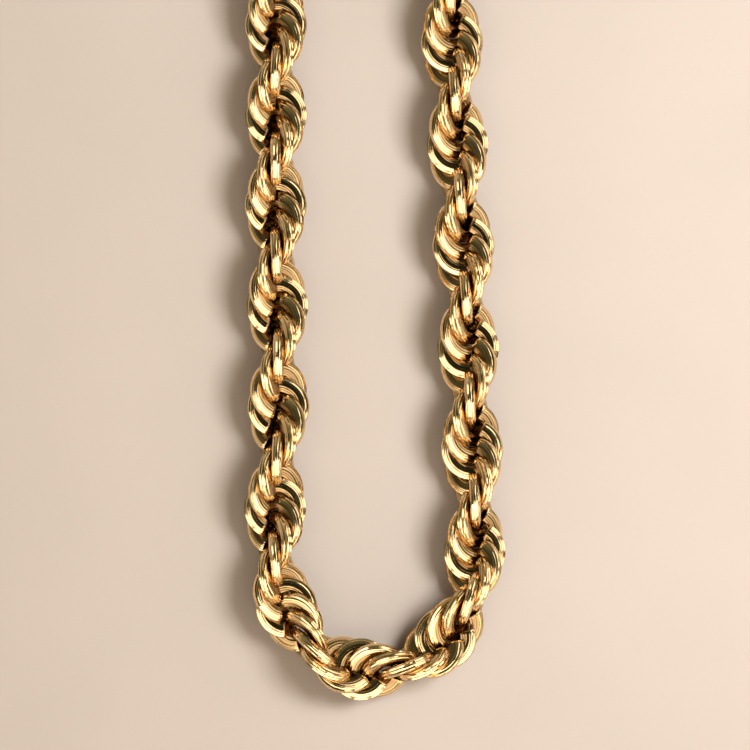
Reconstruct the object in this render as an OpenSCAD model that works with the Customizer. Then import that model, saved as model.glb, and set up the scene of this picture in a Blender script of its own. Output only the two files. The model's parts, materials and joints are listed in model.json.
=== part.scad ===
// Rope chain necklace: open round links nested in a twist, closed by a trigger clasp.
// It lies flat on a surface at z = 0, as a long loop along Y with its lowest bend at the front.

/* [Links] */
// Thickness of the chain, which is the outer diameter of one link
link_od = 10; // [9.5:0.25:11]
// Width of a link's wire, seen with the link edge on
wire_w = 1.65; // [1.45:0.05:1.7]
// Depth of a link's wire, from its outer edge to its hole
wire_t = 1.8; // [1.7:0.05:1.85]
// Gap left between a link and the wires beside it and in its opening
link_play = 0.2; // [0.15:0.05:0.3]

/* [Necklace] */
// Length once round the closed necklace
necklace_length = 450; // [430:1:500]
// Half a turn of the twist, from one swelling of the chain to the next
half_turn = 16.2; // [15.8:0.1:17]

/* [Jump rings] */
// Outer diameter of the ring at each end of the chain
ring_od = 7.6; // [7.4:0.05:8]
// Thickness of the ring's wire
ring_wire = 1; // [0.8:0.05:1.1]

/* [Clasp] */
// Length of the clasp
clasp_length = 15.5; // [14.5:0.5:20]
// Thickness of the clasp's body, on which it lies
clasp_body_d = 5; // [4.8:0.1:5.4]
// Outer width of the bow
bow_w = 8.5; // [8:0.25:10]
// Thickness of the bow's wire
bow_wire = 1.7; // [1.4:0.05:1.75]
// Outer width of the eye at the clasp's tail
eye_w = 4.8; // [4.6:0.1:5.4]
// Thickness of the eye's wire
eye_wire = 1.4; // [1.1:0.05:1.5]

/* [Hidden] */
$fn = 32;

gold = [0.80, 0.62, 0.30];
pale_gold = [0.84, 0.68, 0.38];

// Middle line of the chain as it lies in the open, from the left leg round the bend to the right
// leg: across and up in millimetres, measured from the lowest link.
ROUTE = [
    [-15.9, 108], [-15.9, 88], [-15.9, 69], [-15.6, 55], [-15.5, 42], [-15.8, 31],
    [-16.1, 23.5], [-15.8, 16], [-13.6, 8.8], [-8.9, 3], [-2.2, 0.1], [5, 0.8],
    [11.2, 4.9], [15, 11.3], [16.2, 20], [15.9, 31], [15.4, 44], [14.9, 57],
    [14.2, 71], [13.3, 86], [12.5, 101], [12.3, 108]
];
LOWEST = 10;

// Swellings in the open stretch: number from the lowest link, and place as a share of half_turn.
SWELLINGS = [[-7, -6.82], [-5, -5.03], [0, 0], [2, 1.87], [7, 6.94]];

// Sizes of a link and of the pieces that hold the ends
link_r = (link_od - wire_t) / 2;
ring_r = (ring_od - ring_wire) / 2;
bow_r = (bow_w - bow_wire) / 2;
eye_r = (eye_w - eye_wire) / 2;
chain_z = link_od / 2;
clasp_z = clasp_body_d / 2;
ring_z = ring_od / 2;

// How far a jump ring's middle stands from the wire of the end link and from the clasp's wires.
// The wires lie inside the ring, the link's above its middle and the clasp's below.
HOLD_PLAY = 0.15;
ring_hole_r = ring_r - ring_wire / 2 - HOLD_PLAY;
function hold(wire, drop) = sqrt(pow(ring_hole_r - wire / 2, 2) - drop * drop);
link_hold = hold(wire_t, chain_z - ring_z);
eye_hold = hold(eye_wire, ring_z - clasp_z);
bow_hold = hold(bow_wire, ring_z - clasp_z);

// The open stretch of the middle line: a smooth curve through the points of ROUTE
CURVE_STEPS = 8;
function knot(i) = ROUTE[max(0, min(len(ROUTE) - 1, i))];
function blend_point(a, b, c, d, t) =
    0.5 * (2 * b + (c - a) * t + (2 * a - 5 * b + 4 * c - d) * t * t
    + (3 * b - a - 3 * c + d) * t * t * t);
open_line = [
    for (i = [0 : len(ROUTE) - 2], j = [0 : CURVE_STEPS - 1])
        blend_point(knot(i - 1), knot(i), knot(i + 1), knot(i + 2), j / CURVE_STEPS),
    knot(len(ROUTE) - 1)
];
low_row = LOWEST * CURVE_STEPS;

// Running lengths along a list of points
function lengths(points) = [
    for (i = 0, sum = 0; i < len(points);
        sum = sum + (i + 1 < len(points) ? norm(points[i + 1] - points[i]) : 0), i = i + 1)
        sum
];

// The end links, the jump rings and the clasp close the loop. Each jump ring stands upright over
// the line between the middles of an end link and of the clasp's eye or bow, and on the left
// that line turns up from the clasp's own line by RING_TURN degrees.
RING_TURN = 30;
eye_span = eye_r + eye_hold + link_hold + link_r;
bow_span = bow_r + bow_hold + link_hold + link_r;
clasp_span = clasp_length - (eye_w + bow_w) / 2;
eye_turn = RING_TURN;
bow_turn = asin(eye_span * sin(eye_turn) / bow_span);
gap_width = eye_span * cos(eye_turn) + clasp_span + bow_span * cos(bow_turn);

// The hidden stretch: both legs run straight on and close in a half round bend
bend_x = (ROUTE[0][0] + ROUTE[len(ROUTE) - 1][0]) / 2;
bend_r = (ROUTE[len(ROUTE) - 1][0] - ROUTE[0][0]) / 2;
end_angle = asin(gap_width / 2 / bend_r);
end_arc = bend_r * (90 - end_angle) * PI / 180;
open_runs = lengths(open_line);
open_left = open_runs[low_row];
open_right = open_runs[len(open_line) - 1] - open_left;
chain_length = necklace_length - eye_span - clasp_span - bow_span;
straight = (chain_length - open_left - open_right) / 2 - end_arc;
bend_y = ROUTE[0][1] + straight;
end_left = open_left + straight + end_arc;
end_right = open_right + straight + end_arc;
end_y = bend_y + bend_r * cos(end_angle);
clasp_y = end_y + eye_span * sin(eye_turn);
eye_x = bend_x - gap_width / 2 + eye_span * cos(eye_turn);
bow_x = eye_x + clasp_span;

// The whole middle line, which runs on a little past the end links, then where it is and which
// way it heads at a distance along it
ARC_STEPS = 12;
SPARE_ANGLE = 25;
past_end = end_angle - SPARE_ANGLE;
function bend_point(side, i) =
    let (a = past_end + (90 - past_end) * i / ARC_STEPS)
        [bend_x + side * bend_r * sin(a), bend_y + bend_r * cos(a)];
line = concat(
    [for (i = [0 : ARC_STEPS]) bend_point(-1, i)],
    open_line,
    [for (i = [ARC_STEPS : -1 : 0]) bend_point(1, i)]
);
line_runs = lengths(line);
low_run = line_runs[ARC_STEPS + 1 + low_row];
runs = [for (r = line_runs) r - low_run];
x_at = [for (i = [0 : len(line) - 1]) [runs[i], line[i][0]]];
y_at = [for (i = [0 : len(line) - 1]) [runs[i], line[i][1]]];
function point_at(s) = [lookup(s, x_at), lookup(s, y_at)];

// A link lines up with the points of the middle line under its two ends
function heading_at(s) =
    let (d = point_at(s + link_r) - point_at(s - link_r)) atan2(d[1], d[0]);

// A half turn of the twist has this many links, so that a link just clears its neighbours
LINKS_EACH = 6;
turn = 180 / LINKS_EACH;
open_swellings = SWELLINGS[len(SWELLINGS) - 1][0];
hidden_run = min(end_left, end_right) - open_swellings * half_turn;
last_link = LINKS_EACH * (open_swellings + round(hidden_run / half_turn));

// The place beside each end link is left empty. The link behind it stands back by END_ROOM more
// than the wire of the jump ring needs, since the chain bends there.
END_ROOM = 2.5;
end_step = link_od / 2 + link_play + ring_wire + END_ROOM - link_r;
function is_empty(k) = abs(k) == last_link - 1;
link_places = concat(
    [[2 - last_link, end_step - end_left]],
    [for (row = SWELLINGS) [row[0] * LINKS_EACH, row[1] * half_turn]],
    [[last_link - 2, end_right - end_step]]
);
function along(k) =
    k == -last_link ? -end_left : k == last_link ? end_right : lookup(k, link_places);

// A link stands square to the one that is half of LINKS_EACH on, whose wire passes through the
// opening. The first link opens wider, since the chain bends there, and the last one is closed.
FIRST_EXTRA = 10;
closest_step = min([for (i = [0 : len(link_places) - 2])
    (link_places[i + 1][1] - link_places[i][1]) / (link_places[i + 1][0] - link_places[i][0])]);
flat = (wire_t - wire_w) / 2;
passing_r = closest_step * LINKS_EACH / 2 - link_r - flat;
opening = 2 * asin((wire_w / 2 + link_play) / passing_r);
function opening_of(k) =
    k == last_link ? 0 : k == -last_link ? opening + FIRST_EXTRA : opening;

// The loop is moved along Y so that its middle is over the origin
middle_y = (clasp_y + bow_w / 2 - link_od / 2) / 2;

// A link's wire is an upright oval: two rounds and what lies between them
module wire_section() {
    translate([-flat, 0]) circle(d = wire_w);
    translate([flat, 0]) circle(d = wire_w);
    square([2 * flat, wire_w], center = true);
}

// One link, lying flat about the origin, with its opening towards +X
module link(open_angle) {
    rotate([0, 0, open_angle / 2])
        rotate_extrude(angle = 360 - open_angle)
            translate([link_r, 0]) wire_section();
}

// Links from number a to number b, in their places along the chain
module links(a, b) {
    for (k = [a : b]) if (!is_empty(k)) {
        s = along(k);
        translate([point_at(s)[0], point_at(s)[1] - middle_y, chain_z])
            rotate([0, 0, heading_at(s)])
                rotate([turn * k, 0, 0])
                    link(opening_of(k));
    }
}

module chain_left() {
    color(gold) links(-last_link, -1);
}

module chain_right() {
    color(gold) links(0, last_link);
}

// Round ring of wire, lying flat about the origin
module ring(mean_r, wire) {
    rotate_extrude() translate([mean_r, 0]) circle(d = wire);
}

// A jump ring stands on edge beside the clasp, its flat side turned by an angle
module jump_ring(x, y, angle) {
    color(pale_gold)
        translate([x, y - middle_y, ring_z])
            rotate([90, 0, angle]) ring(ring_r, ring_wire);
}

module jump_ring_left() {
    reach = eye_r + eye_hold;
    jump_ring(eye_x - reach * cos(eye_turn), clasp_y - reach * sin(eye_turn), eye_turn);
}

module jump_ring_right() {
    reach = bow_r + bow_hold;
    jump_ring(bow_x + reach * cos(bow_turn), clasp_y - reach * sin(bow_turn), -bow_turn);
}

// Ball in the plane z = 0, turned so that the seam of its surface faces where nothing joins it
module ball(p, d, seam) {
    translate([p[0], p[1], 0]) rotate([0, 0, seam]) sphere(d = d);
}

// Round bar between two points in the plane z = 0, with its own thickness at each end
module bar(p, q, d_p, d_q) {
    run = q - p;
    translate([p[0], p[1], 0])
        rotate([0, 90, atan2(run[1], run[0])]) cylinder(h = norm(run), d1 = d_p, d2 = d_q);
}

// Trigger clasp in one plain piece: a tail eye, a thick body, a spring barrel and a hooked bow.
// Its places are measured from the middle of the bow, and its thicknesses are shares of the
// body's or the bow's. An end ball is a little thicker than the bar that ends in it.
EYE_LAP = 0.4;
BODY_DROP = 0.3;
ARM_SHARE = 0.72;
BARREL_SHARE = 0.84;
BARREL_END_SHARE = 0.5;
KNOB_SHARE = 0.4;
BALL_SHARE = 1.15;
BODY_SEAM = 125;
ARM_SEAM = 100;
BARREL_SEAM = 290;
KNOB_SEAM = 250;
module clasp() {
    barrel_end_d = clasp_body_d * BARREL_END_SHARE;
    body = [eye_r + clasp_body_d / 2 - EYE_LAP - clasp_span, -BODY_DROP];
    arm_end = [0, bow_r];
    barrel_end = [0, -bow_r];
    knob = [-bow_r / 2, -bow_r - barrel_end_d / 2];
    color(pale_gold)
        translate([bow_x, clasp_y - middle_y, clasp_z]) {
            translate([-clasp_span, 0, 0]) ring(eye_r, eye_wire);
            rotate([0, 0, -90])
                rotate_extrude(angle = 180) translate([bow_r, 0]) circle(d = bow_wire);
            ball(body, clasp_body_d, BODY_SEAM);
            bar(body, arm_end, clasp_body_d * ARM_SHARE, bow_wire);
            ball(arm_end, bow_wire * BALL_SHARE, ARM_SEAM);
            bar(body, barrel_end, clasp_body_d * BARREL_SHARE, barrel_end_d);
            ball(barrel_end, barrel_end_d * BALL_SHARE, BARREL_SEAM);
            ball(knob, clasp_body_d * KNOB_SHARE, KNOB_SEAM);
        }
}

chain_left();
chain_right();
jump_ring_left();
jump_ring_right();
clasp();
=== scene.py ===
# %% [markdown]
# A gold rope chain necklace.
#
# A rope chain is made of many plain round rings of wire. Each ring is cut open, and the next
# rings pass through its opening a little turned, so that the rings nest and their edges wind
# round the chain like the strands of a rope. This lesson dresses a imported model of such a
# necklace: it reads where each ring lies, models the ring with a fuller wire and puts a copy in
# each place, then finishes the jump rings, the clasp, the gold, the table, the lights and the
# camera.

# %% Load the frame
import json
import math
import random

import bpy
import numpy as np
from mathutils import Euler, Matrix, Vector

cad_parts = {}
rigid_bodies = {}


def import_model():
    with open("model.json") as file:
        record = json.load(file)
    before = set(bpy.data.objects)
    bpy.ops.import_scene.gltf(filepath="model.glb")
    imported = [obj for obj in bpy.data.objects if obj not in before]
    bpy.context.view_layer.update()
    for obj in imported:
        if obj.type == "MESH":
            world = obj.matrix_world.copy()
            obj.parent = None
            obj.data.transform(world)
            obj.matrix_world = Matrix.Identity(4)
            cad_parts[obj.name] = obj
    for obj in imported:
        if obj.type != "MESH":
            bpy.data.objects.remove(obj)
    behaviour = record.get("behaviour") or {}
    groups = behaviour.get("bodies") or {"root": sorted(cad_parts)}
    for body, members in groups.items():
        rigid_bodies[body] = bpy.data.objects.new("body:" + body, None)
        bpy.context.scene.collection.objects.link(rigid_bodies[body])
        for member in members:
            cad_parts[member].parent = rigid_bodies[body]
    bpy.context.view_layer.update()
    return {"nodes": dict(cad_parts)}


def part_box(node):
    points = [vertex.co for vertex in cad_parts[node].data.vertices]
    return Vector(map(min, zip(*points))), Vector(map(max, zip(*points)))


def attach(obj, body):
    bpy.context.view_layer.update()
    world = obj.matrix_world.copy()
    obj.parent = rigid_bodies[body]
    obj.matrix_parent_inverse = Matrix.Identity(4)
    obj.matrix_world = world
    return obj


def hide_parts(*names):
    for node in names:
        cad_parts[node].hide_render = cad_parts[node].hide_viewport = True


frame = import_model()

print("nodes:", sorted(frame["nodes"]))

# %% [markdown]
# Every operator in Blender works on what is selected. The loaded nodes come in selected, so the
# first helpers put the selection in order: one selects nothing, the other selects one object
# and makes it the active one.

# %% Keep the selection in order


def select_none():
    if bpy.context.object and bpy.context.object.mode != "OBJECT":
        bpy.ops.object.mode_set(mode="OBJECT")
    for obj in bpy.data.objects:
        obj.select_set(False)


def select_only(obj):
    select_none()
    obj.hide_set(False)
    obj.select_set(True)
    bpy.context.view_layer.objects.active = obj


# %% [markdown]
# The strands come from the frame as one mesh each, made of loose triangles. Merging the doubled
# points of a copy turns the triangles back into closed rings, and separating the loose parts
# gives one object for each ring. The copies of the strands are only read and then thrown away.
# The nodes themselves stay as they are, and a copy loses the marks by which the frame knows a
# node.

# %% Take a copy of a node apart
MM = 0.001
MERGE_DISTANCE = 0.001 * MM


def merged_copy(node):
    copy = frame["nodes"][node].copy()
    copy.data = copy.data.copy()
    copy.parent = None
    for mark in list(copy.keys()):
        del copy[mark]
    bpy.context.scene.collection.objects.link(copy)
    select_only(copy)
    bpy.ops.object.mode_set(mode="EDIT")
    bpy.ops.mesh.select_all(action="SELECT")
    bpy.ops.mesh.remove_doubles(threshold=MERGE_DISTANCE)
    bpy.ops.object.mode_set(mode="OBJECT")
    return copy


def loose_parts(node):
    select_only(merged_copy(node))
    bpy.ops.object.mode_set(mode="EDIT")
    bpy.ops.mesh.select_all(action="SELECT")
    bpy.ops.mesh.separate(type="LOOSE")
    bpy.ops.object.mode_set(mode="OBJECT")
    return list(bpy.context.selected_objects)


def points_of(obj):
    points = np.empty(len(obj.data.vertices) * 3)
    obj.data.vertices.foreach_get("co", points)
    return points.reshape(-1, 3)


# %% [markdown]
# A ring's points are enough to say how it lies. They spread widely in the ring's own plane and
# little along its axis, so the axis is the direction of least spread. A circle fitted in that
# plane gives the middle, and the widest gap between the points, going round, is the opening. In
# a closed ring that gap is only the step from one point to the next, and counts as no opening.

# %% Measure where a ring lies
CLOSED_BELOW = math.radians(30)


def circle_middle(x, y):
    """The middle of the circle that fits a set of points best."""
    rows = np.column_stack([2 * x, 2 * y, np.ones(len(x))])
    middle_x, middle_y, _ = np.linalg.lstsq(rows, x * x + y * y, rcond=None)[0]
    return middle_x, middle_y


def widest_gap(angles):
    """The widest gap between angles round a circle, and where its middle is."""
    angles = np.sort(angles)
    gaps = np.diff(np.append(angles, angles[0] + 2 * math.pi))
    widest = int(gaps.argmax())
    return gaps[widest], angles[widest] + gaps[widest] / 2


def ring_place(points):
    """Returns the ring's place as a matrix, the angle of its opening and its outer radius. The
    matrix turns +Z to the ring's axis and +X to the middle of its opening."""
    mean = points.mean(axis=0)
    along_u, along_v, axis = np.linalg.svd(points - mean, full_matrices=False)[2]
    x = (points - mean) @ along_u
    y = (points - mean) @ along_v
    middle_x, middle_y = circle_middle(x, y)
    opening, facing = widest_gap(np.arctan2(y - middle_y, x - middle_x))
    if opening < CLOSED_BELOW:
        opening = 0.0
    out = Vector(math.cos(facing) * along_u + math.sin(facing) * along_v).normalized()
    axis = Vector(axis).normalized()
    side = axis.cross(out)
    place = Matrix((out, side, axis)).transposed().to_4x4()
    place.translation = Vector(mean + middle_x * along_u + middle_y * along_v)
    outer = float(np.hypot(x - middle_x, y - middle_y).max())
    return place, opening, outer


# %% [markdown]
# A ring could be a torus from the menu, but a torus can't be cut open cleanly. Here the ring is
# made as a goldsmith makes it: the section of the wire is drawn and swept round by Spin. The two
# cut ends are left flat with a small bevel, so that they catch a line of light as filed ends do.
# Where the ring is closed, the section that is left inside at the join is deleted.

# %% Sweep a section of wire into a ring
RING_STEPS = 40
END_BEVEL = 0.05 * MM
SMOOTH_BELOW = math.radians(75)


def apply_place():
    bpy.ops.object.transform_apply(location=True, rotation=True, scale=True)


def spin_section(section, opening):
    """Sweeps the section round the Z axis and turns all faces outwards."""
    section.rotation_euler.z = opening / 2
    apply_place()
    bpy.ops.object.mode_set(mode="EDIT")
    bpy.ops.mesh.select_all(action="SELECT")
    bpy.ops.mesh.spin(
        steps=RING_STEPS,
        angle=2 * math.pi - opening,
        use_auto_merge=False,
        center=(0, 0, 0),
        axis=(0, 0, -1),
    )
    bpy.ops.mesh.select_all(action="SELECT")
    bpy.ops.mesh.remove_doubles(threshold=MERGE_DISTANCE)
    bpy.ops.mesh.normals_make_consistent(inside=False)
    bpy.ops.mesh.select_all(action="DESELECT")
    bpy.ops.object.mode_set(mode="OBJECT")


def sweep_ring(section, opening):
    """Makes a ring of a section that stands beside the Z axis. The ring lies flat about the
    origin, with its opening towards +X."""
    select_only(section)
    corners = len(section.data.vertices)
    spin_section(section, opening)
    ends = [face for face in section.data.polygons if len(face.vertices) == corners]
    for face in ends:
        face.select = True
    bpy.ops.object.mode_set(mode="EDIT")
    if opening > 0:
        bpy.ops.mesh.bevel(offset=END_BEVEL, segments=1, affect="EDGES")
    else:
        bpy.ops.mesh.delete(type="ONLY_FACE")
    bpy.ops.object.mode_set(mode="OBJECT")
    bpy.ops.object.shade_smooth_by_angle(angle=SMOOTH_BELOW)
    print(section.name, "faces", len(section.data.polygons), "end faces", len(ends))
    return section


# %% [markdown]
# The chain's wire isn't plain and round. It is an upright oval, full at its corners, with fine
# flutes along it, which is why each ring shows a few pale lines side by side. The section starts
# as a circle that is stretched to an oval and filled out, and every other corner of it is drawn
# in a little to make the flutes.

# %% Draw the section of the chain's wire
LINK_WIRE_WIDTH = 1.8 * MM
LINK_WIRE_DEPTH = 2.7 * MM
LINK_CORNERS = 26
FULLNESS = 0.78
FLUTE = 0.905


def fuller(value, half):
    """Moves a value between 0 and half outwards, which turns an oval into a fuller one."""
    return math.copysign(half * abs(value / half) ** FULLNESS, value)


def band_section(name, outer, wire_depth):
    """Width runs along the ring's axis, and depth from its outer edge towards its middle."""
    select_none()
    bpy.ops.mesh.primitive_circle_add(
        vertices=LINK_CORNERS, radius=0.5, fill_type="NGON", rotation=(math.pi / 2, 0, 0)
    )
    section = bpy.context.object
    section.name = name
    section.scale = (wire_depth, LINK_WIRE_WIDTH, 1)
    apply_place()
    bpy.ops.object.mode_set(mode="EDIT")
    bpy.ops.mesh.select_all(action="DESELECT")
    bpy.ops.object.mode_set(mode="OBJECT")
    for vertex in section.data.vertices:
        vertex.co.x = fuller(vertex.co.x, wire_depth / 2)
        vertex.co.z = fuller(vertex.co.z, LINK_WIRE_WIDTH / 2)
        vertex.select = vertex.index % 2 == 1
    bpy.ops.object.mode_set(mode="EDIT")
    bpy.ops.transform.resize(value=(FLUTE, FLUTE, FLUTE), center_override=(0, 0, 0))
    bpy.ops.object.mode_set(mode="OBJECT")
    section.location.x = outer - wire_depth / 2
    apply_place()
    print(name, "corners", len(section.data.vertices))
    return section


# %% [markdown]
# The bottom of each flute stays a sharp line, and the ridge beside it is smooth. Each point of a
# ring also notes how deep it is buried: 0 at the outside, 1 at the hole of a ring of the deep
# wire. The cut ends count as 1 too. Where that number is high the gold gets a painted shade,
# which stands in for the shadow between the rings and at the cut ends.

# %% Mark the flutes and the buried side
# Points within this angle of a cut end get the full painted shade.
END_SHADE_MARGIN = math.radians(0.3)


def mark_flutes(ring, outer, opening, wire_depth):
    """Marks the flutes of a ring sharp and stores how deep each of its points is buried."""
    points = points_of(ring)
    inwards = outer - np.hypot(points[:, 0], points[:, 1])
    depth = 1 - inwards / (wire_depth / 2)
    width = points[:, 2] / (LINK_WIRE_WIDTH / 2)
    oval = np.hypot(np.abs(depth) ** (1 / FULLNESS), np.abs(width) ** (1 / FULLNESS))
    drawn_in = oval < (1 + FLUTE) / 2
    at_end = np.abs(np.arctan2(points[:, 1], points[:, 0])) < opening / 2 + END_SHADE_MARGIN
    # buried is the mask of the painted shade that darkens the gold between the rings.
    buried = ring.data.attributes.new("buried", "FLOAT", "POINT")
    buried.data.foreach_set("value", np.where(at_end, 1.0, inwards / LINK_WIRE_DEPTH))
    for edge in ring.data.edges:
        if all(drawn_in[i] for i in edge.vertices):
            edge.use_edge_sharp = True
    print(ring.name, "sharp edges", sum(edge.use_edge_sharp for edge in ring.data.edges))
    return ring


# %% [markdown]
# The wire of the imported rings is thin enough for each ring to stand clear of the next. On the
# real chain they touch, so here the wire is fuller, the opening is a little wider, and the outer
# diameter stays the same. The ring at each end of the chain keeps a shallower wire, since a jump
# ring has to pass through its hole. A ring is modelled once for each width of opening and depth
# of wire, and every place gets a copy of its mesh.

# %% Model each kind of ring once
OPENED_MORE = math.radians(10)
END_WIRE_DEPTH = 1.7 * MM
BESIDE_JUMP_RING = 7 * MM
jump_ring_boxes = [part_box("jump_ring_left"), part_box("jump_ring_right")]
jump_ring_middles = [(Vector(low) + Vector(high)) / 2 for low, high in jump_ring_boxes]
link_kinds = {}


def wire_depth_at(place):
    """A ring whose middle is close to a jump ring's is one that ends the chain."""
    middle = place.translation
    if any((middle - other).length < BESIDE_JUMP_RING for other in jump_ring_middles):
        return END_WIRE_DEPTH
    return LINK_WIRE_DEPTH


def link_kind(opening, outer, wire_depth):
    if opening > 0:
        opening += OPENED_MORE
    degrees = round(math.degrees(opening))
    if (degrees, wire_depth) not in link_kinds:
        section = band_section(f"link_kind_{degrees}", outer, wire_depth)
        ring = sweep_ring(section, opening)
        link_kinds[degrees, wire_depth] = mark_flutes(ring, outer, opening, wire_depth)
    return link_kinds[degrees, wire_depth]


# %% [markdown]
# No two rings of a real chain lie quite alike. So each copy is tilted by about a degree and
# turned by a few degrees about its own axis before it goes to its place. The turns come from a
# fixed seed, so they are the same in every run.

# %% Put a ring in each place of a strand
UNEVEN = math.radians(1.2)
SHIFT_ROUND = math.radians(3)
uneven = random.Random(5)


def little_turn():
    turns = (uneven.gauss(0, UNEVEN), uneven.gauss(0, UNEVEN), uneven.gauss(0, SHIFT_ROUND))
    return Euler(turns).to_matrix().to_4x4()


def join(objects, name):
    select_none()
    for obj in objects:
        obj.select_set(True)
    bpy.context.view_layer.objects.active = objects[0]
    bpy.ops.object.join()
    joined = bpy.context.object
    joined.name = name
    return joined


def triangles_of(obj):
    return sum(len(face.vertices) - 2 for face in obj.data.polygons)


def dress_strand(node, name):
    parts = loose_parts(node)
    places = [ring_place(points_of(part)) for part in parts]
    for part in parts:
        bpy.data.objects.remove(part)
    links = []
    for place, opening, outer in places:
        mesh = link_kind(opening, outer, wire_depth_at(place)).data.copy()
        mesh.transform(place @ little_turn())
        link = bpy.data.objects.new(name, mesh)
        bpy.context.scene.collection.objects.link(link)
        links.append(link)
    strand = join(links, name)
    print(name, "rings", len(places), "triangles", triangles_of(strand))
    return strand


strand_left = dress_strand("chain_left", "rope_left")
strand_right = dress_strand("chain_right", "rope_right")
for kind in link_kinds.values():
    bpy.data.objects.remove(kind)

# %% [markdown]
# A jump ring is a smaller ring of round wire, cut once and pressed shut, so a hair line stays
# where its ends meet. The same helper models it with a very small opening.

# %% Model the jump rings
JUMP_WIRE = 1.0 * MM
JUMP_SEAM = math.radians(0.8)
ROUND_POINTS = 16


def dress_jump_ring(node, name):
    solid = merged_copy(node)
    place, _, outer = ring_place(points_of(solid))
    bpy.data.objects.remove(solid)
    select_none()
    bpy.ops.mesh.primitive_circle_add(
        vertices=ROUND_POINTS, radius=JUMP_WIRE / 2, fill_type="NGON", rotation=(math.pi / 2, 0, 0)
    )
    section = bpy.context.object
    section.name = name
    section.location.x = outer - JUMP_WIRE / 2
    apply_place()
    ring = sweep_ring(section, JUMP_SEAM)
    ring.data.transform(place)
    return ring


ring_left = dress_jump_ring("jump_ring_left", "jump_ring_eye")
ring_right = dress_jump_ring("jump_ring_right", "jump_ring_bow")

# %% [markdown]
# The clasp is cast in one piece, and cast metal has no sharp inner corners. A copy of the plain
# clasp is turned into an even skin by Remesh and then smoothed, which rounds the places where
# the eye, the body, the barrel and the bow run into each other.

# %% Cast the clasp
CLASP_VOXEL = 0.13 * MM
SMOOTH_SHARE = 0.5
SMOOTH_ROUNDS = 12


def dress_clasp(node, name):
    clasp = merged_copy(node)
    clasp.name = name
    remesh = clasp.modifiers.new("skin", "REMESH")
    remesh.mode = "VOXEL"
    remesh.voxel_size = CLASP_VOXEL
    remesh.use_smooth_shade = True
    smooth = clasp.modifiers.new("cast", "SMOOTH")
    smooth.factor = SMOOTH_SHARE
    smooth.iterations = SMOOTH_ROUNDS
    bpy.ops.object.modifier_apply(modifier="skin")
    bpy.ops.object.modifier_apply(modifier="cast")
    print(name, "triangles", triangles_of(clasp))
    return clasp


clasp = dress_clasp("clasp", "trigger_clasp")

# %% [markdown]
# A finish is a small net of nodes: something that varies over the surface, such as cloudy noise,
# is stretched to the range that is wanted or turned into colours, and then drives one input of
# the shader. Three helpers make such nodes, and the gold, the table and the room all use them.

# %% Prepare the nodes of a finish


def add_noise(tree, where, scale, detail):
    """Cloudy values, mostly between 0.3 and 0.7."""
    noise = tree.nodes.new("ShaderNodeTexNoise")
    noise.inputs["Scale"].default_value = scale
    noise.inputs["Detail"].default_value = detail
    tree.links.new(where, noise.inputs["Vector"])
    return noise.outputs["Fac"]


def add_range(tree, value, lowest, highest, result_at_lowest, result_at_highest):
    """Stretches the values between lowest and highest to the results, and stops there."""
    stretch = tree.nodes.new("ShaderNodeMapRange")
    stretch.inputs["From Min"].default_value = lowest
    stretch.inputs["From Max"].default_value = highest
    stretch.inputs["To Min"].default_value = result_at_lowest
    stretch.inputs["To Max"].default_value = result_at_highest
    tree.links.new(value, stretch.inputs["Value"])
    return stretch.outputs["Result"]


def add_colours(tree, value, stops):
    """Turns values into colours. Each stop is a value and its colour, from the lowest up."""
    ramp = tree.nodes.new("ShaderNodeValToRGB")
    elements = ramp.color_ramp.elements
    elements[0].position = stops[0][0]
    elements[1].position = stops[-1][0]
    for position, _ in stops[1:-1]:
        elements.new(position)
    for element, (_, colour) in zip(elements, stops):
        element.color = (*colour, 1)
    tree.links.new(value, ramp.inputs["Fac"])
    return ramp.outputs["Color"]


# %% [markdown]
# Polished gold has hardly a colour of its own: it mirrors the room and tints it yellow. So the
# material is a plain metal with a low roughness, and what makes it look real is small. Fine wear
# makes it up to twice as rough in places, its tone is a little deeper elsewhere, and the surface
# is very slightly uneven.

# %% Mix the gold
WEAR_FROM = 0.35
WEAR_TO = 0.75
WEAR_DETAIL = 4
WORN_ROUGHER = 2
DEEP_FROM = 0.3
DEEP_TO = 0.7
DEEP_TONE = 0.93
RIPPLE_FINER = 1.5
RIPPLE_DETAIL = 1


def gold(name, colour, roughness, wear_scale, ripple_height):
    material = bpy.data.materials.new(name)
    material.use_nodes = True
    tree = material.node_tree
    shader = tree.nodes["Principled BSDF"]
    shader.inputs["Metallic"].default_value = 1.0
    where = tree.nodes.new("ShaderNodeTexCoord").outputs["Object"]
    wear = add_noise(tree, where, wear_scale, WEAR_DETAIL)
    rough = add_range(tree, wear, WEAR_FROM, WEAR_TO, roughness, roughness * WORN_ROUGHER)
    tree.links.new(rough, shader.inputs["Roughness"])
    deep_colour = [channel * DEEP_TONE for channel in colour]
    tone = add_colours(tree, wear, [(DEEP_FROM, deep_colour), (DEEP_TO, colour)])
    tree.links.new(tone, shader.inputs["Base Color"])
    bump = tree.nodes.new("ShaderNodeBump")
    bump.inputs["Strength"].default_value = 1.0
    bump.inputs["Distance"].default_value = ripple_height
    ripple = add_noise(tree, where, wear_scale * RIPPLE_FINER, RIPPLE_DETAIL)
    tree.links.new(ripple, bump.inputs["Height"])
    tree.links.new(bump.outputs["Normal"], shader.inputs["Normal"])
    print(name, "roughness from", roughness)
    return material


chain_gold = gold(
    "polished_gold",
    colour=(0.92, 0.665, 0.37),
    roughness=0.09,
    wear_scale=700,
    ripple_height=0.012 * MM,
)
clasp_gold = gold(
    "clasp_gold",
    colour=(0.93, 0.70, 0.42),
    roughness=0.12,
    wear_scale=500,
    ripple_height=0.008 * MM,
)

# %% [markdown]
# Deep between the rings the gold gets a painted shade, which stands in for the shadow there and
# parts one ring from the next. Each point of a ring knows how deep it is buried, and the
# material blends from the polished tone to the painted shade with that.

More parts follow.
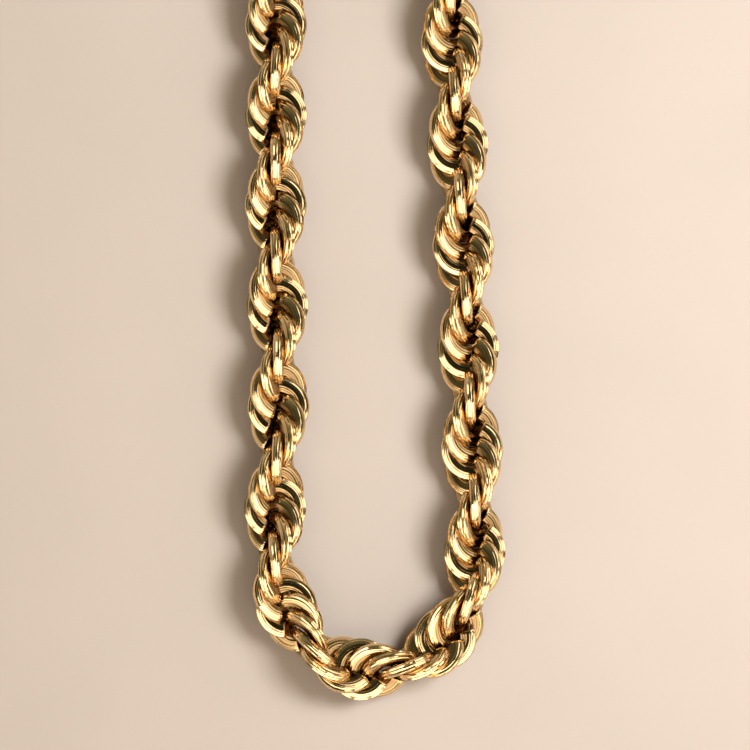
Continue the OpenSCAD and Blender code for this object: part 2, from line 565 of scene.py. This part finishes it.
# %% Paint shade on the gold between the rings
# The painted shade: its colour, and the depths between which the gold fades into it.
PAINTED_SHADE_COLOUR = (0.36, 0.23, 0.11)
PAINTED_SHADE_FROM = 0.24
PAINTED_SHADE_TO = 0.48


# Blends the gold's colour into a painted shade where a ring is buried deep, in place of the shadow
# there.
def paint_shade_between(material):
    tree = material.node_tree
    base_colour = tree.nodes["Principled BSDF"].inputs["Base Color"]
    polished = base_colour.links[0].from_socket
    buried = tree.nodes.new("ShaderNodeAttribute")
    buried.attribute_name = "buried"
    shaded = add_range(tree, buried.outputs["Fac"], PAINTED_SHADE_FROM, PAINTED_SHADE_TO, 0, 1)
    blend = tree.nodes.new("ShaderNodeMix")
    blend.data_type = "RGBA"
    blend.inputs["B"].default_value = (*PAINTED_SHADE_COLOUR, 1)
    tree.links.new(shaded, blend.inputs["Factor"])
    tree.links.new(polished, blend.inputs["A"])
    tree.links.new(blend.outputs["Result"], base_colour)
    print(material.name, "dulled where buried by more than", PAINTED_SHADE_FROM)


paint_shade_between(chain_gold)

# %% [markdown]
# Each piece is now handed over. It gets its gold, it is fixed to the necklace's only body, and
# it takes the place of the node that it was made from.

# %% Hand over the pieces
PIECES = [
    (strand_left, "chain_left", "polished_gold", chain_gold),
    (strand_right, "chain_right", "polished_gold", chain_gold),
    (ring_left, "jump_ring_left", "clasp_gold", clasp_gold),
    (ring_right, "jump_ring_right", "clasp_gold", clasp_gold),
    (clasp, "clasp", "clasp_gold", clasp_gold),
]
for piece, node, slot, material in PIECES:
    piece.data.materials.clear()
    piece.data.materials.append(material)
    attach(piece, "root")
    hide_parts(node)
    print(piece.name, "replaces", node)

# %% [markdown]
# The necklace lies on a plain pale table, a hair below it so that the two don't flicker into
# each other. The table is larger than any view of it, and a faint mottling keeps it from looking
# like a cut-out.

# %% Lay the table
TABLE_SIZE = 6.0
TABLE_DROP = 0.02 * MM
TABLE_ROUGHNESS = 0.85
TABLE_DEEP = (0.225, 0.184, 0.155)
TABLE_PALE = (0.233, 0.190, 0.161)
MOTTLE_SCALE = 30
MOTTLE_DETAIL = 2
MOTTLE_FROM = 0.35
MOTTLE_TO = 0.65
select_none()
bpy.ops.mesh.primitive_plane_add(size=TABLE_SIZE, location=(0, 0, -TABLE_DROP))
table = bpy.context.object
table.name = "table"
pale_table = bpy.data.materials.new("pale_table")
pale_table.use_nodes = True
table_tree = pale_table.node_tree
table_shader = table_tree.nodes["Principled BSDF"]
table_shader.inputs["Roughness"].default_value = TABLE_ROUGHNESS
table_where = table_tree.nodes.new("ShaderNodeTexCoord").outputs["Object"]
mottle = add_noise(table_tree, table_where, MOTTLE_SCALE, MOTTLE_DETAIL)
table_stops = [(MOTTLE_FROM, TABLE_DEEP), (MOTTLE_TO, TABLE_PALE)]
table_tone = add_colours(table_tree, mottle, table_stops)
table_tree.links.new(table_tone, table_shader.inputs["Base Color"])
table.data.materials.append(pale_table)
print("table, metres across:", TABLE_SIZE)

# %% [markdown]
# Gold needs something dark and something bright to mirror. The room is dim, and soft panels
# stand round the table. A small one at the right throws the shadows to the left, and a wide one
# overhead warms the shadows. The gold mirrors neither, so that they leave no hard spots on it. A
# row of tall panels in front draws the long pale lines along the lower part of each ring, and a
# wide and dim one behind the row fills the gaps with a warm tone. Two at the right light the far
# sides. The upper parts mirror the dark of the room.

# %% Set the lights
CHAIN_MIDDLE = Vector((0, -0.055, 0.005))
FRONT_PANELS = 5
FRONT_AZIMUTH = -90
FRONT_SPACING = 31


def soft_panel(name, azimuth, elevation, distance, width, height, watts, colour):
    """An area light that faces the chain. Azimuth 0 stands at the right and 90 at the back."""
    turned = math.radians(azimuth)
    raised = math.radians(elevation)
    level = math.cos(raised)
    back = Vector((math.cos(turned) * level, math.sin(turned) * level, math.sin(raised)))
    light = bpy.data.lights.new(name, "AREA")
    light.shape = "RECTANGLE"
    light.size = width
    light.size_y = height
    light.energy = watts
    light.color = colour
    panel = bpy.data.objects.new(name, light)
    panel.location = CHAIN_MIDDLE + back * distance
    panel.rotation_mode = "QUATERNION"
    panel.rotation_quaternion = (-back).to_track_quat("-Z", "Y")
    panel.visible_camera = False
    bpy.context.scene.collection.objects.link(panel)
    print(name, "watts", watts)
    return panel


key_panel = soft_panel(
    "key_panel", azimuth=14, elevation=56, distance=0.4,
    width=0.16, height=0.16, watts=4.6, colour=(0.90, 0.96, 1),
)
ceiling_panel = soft_panel(
    "ceiling_panel", azimuth=90, elevation=89, distance=1.0,
    width=1.2, height=1.2, watts=3.6, colour=(1, 0.78, 0.55),
)
for panel in (key_panel, ceiling_panel):
    panel.visible_glossy = False
soft_panel(
    "right_panel", azimuth=8, elevation=36, distance=1.2,
    width=0.34, height=0.8, watts=1.9, colour=(1, 0.94, 0.84),
)
soft_panel(
    "back_right_panel", azimuth=45, elevation=36, distance=1.2,
    width=0.6, height=0.9, watts=3.4, colour=(1, 0.95, 0.86),
)
soft_panel(
    "front_glow", azimuth=FRONT_AZIMUTH, elevation=36, distance=1.6,
    width=4.2, height=1.4, watts=6.5, colour=(1, 0.84, 0.60),
)
for number in range(FRONT_PANELS):
    steps_right = number - (FRONT_PANELS - 1) / 2
    soft_panel(
        f"front_panel_{number}", azimuth=FRONT_AZIMUTH + steps_right * FRONT_SPACING,
        elevation=43, distance=1.2, width=0.44, height=1.4, watts=4.3, colour=(1, 0.92, 0.80),
    )

# %% [markdown]
# What the panels leave free is the room. It is warm and less dark near the floor and almost
# black overhead, and large soft patches make it uneven, as furniture and windows do, so that no
# two rings mirror quite the same tones.

# %% Surround the table with a dim room
ROOM_LOW = (0.45, 0.36, 0.24)
ROOM_MIDDLE = (0.17, 0.165, 0.10)
ROOM_HIGH = (0.05, 0.055, 0.035)
ROOM_STOPS = [(0.0, ROOM_LOW), (0.4, ROOM_MIDDLE), (0.9, ROOM_HIGH)]
PATCH_SCALE = 2.2
PATCH_DETAIL = 1
PATCH_FROM = 0.35
PATCH_TO = 0.65
DARKEST_PATCH = 0.3
BRIGHTEST_PATCH = 1.8
world = bpy.data.worlds.new("room")
world.use_nodes = True
room_tree = world.node_tree
background = room_tree.nodes["Background"]
direction = room_tree.nodes.new("ShaderNodeTexCoord").outputs["Generated"]
parts_of_direction = room_tree.nodes.new("ShaderNodeSeparateXYZ")
room_tree.links.new(direction, parts_of_direction.inputs["Vector"])
walls = add_colours(room_tree, parts_of_direction.outputs["Z"], ROOM_STOPS)
room_tree.links.new(walls, background.inputs["Color"])
patches = add_noise(room_tree, direction, PATCH_SCALE, PATCH_DETAIL)
strength = add_range(room_tree, patches, PATCH_FROM, PATCH_TO, DARKEST_PATCH, BRIGHTEST_PATCH)
room_tree.links.new(strength, background.inputs["Strength"])
bpy.context.scene.world = world
bpy.context.scene.view_settings.view_transform = "Standard"
print("room:", world.name)

# %% [markdown]
# The camera looks straight down, as in the photograph, which shows the front part of the loop.
# A long lens from well above keeps the chain free of perspective.

# %% Place the camera
VIEW_WIDTH = 0.121
VIEW_MIDDLE_X = 0.08 * MM
VIEW_MIDDLE_Y = -55.3 * MM
CAMERA_HEIGHT = 0.9
SENSOR_WIDTH_MM = 36
camera_data = bpy.data.cameras.new("camera")
camera_data.sensor_width = SENSOR_WIDTH_MM
camera_data.lens = SENSOR_WIDTH_MM * (CAMERA_HEIGHT - CHAIN_MIDDLE.z) / VIEW_WIDTH
camera = bpy.data.objects.new("camera", camera_data)
camera.location = (VIEW_MIDDLE_X, VIEW_MIDDLE_Y, CAMERA_HEIGHT)
bpy.context.scene.collection.objects.link(camera)
bpy.context.scene.camera = camera
print("lens, millimetres:", round(camera_data.lens))
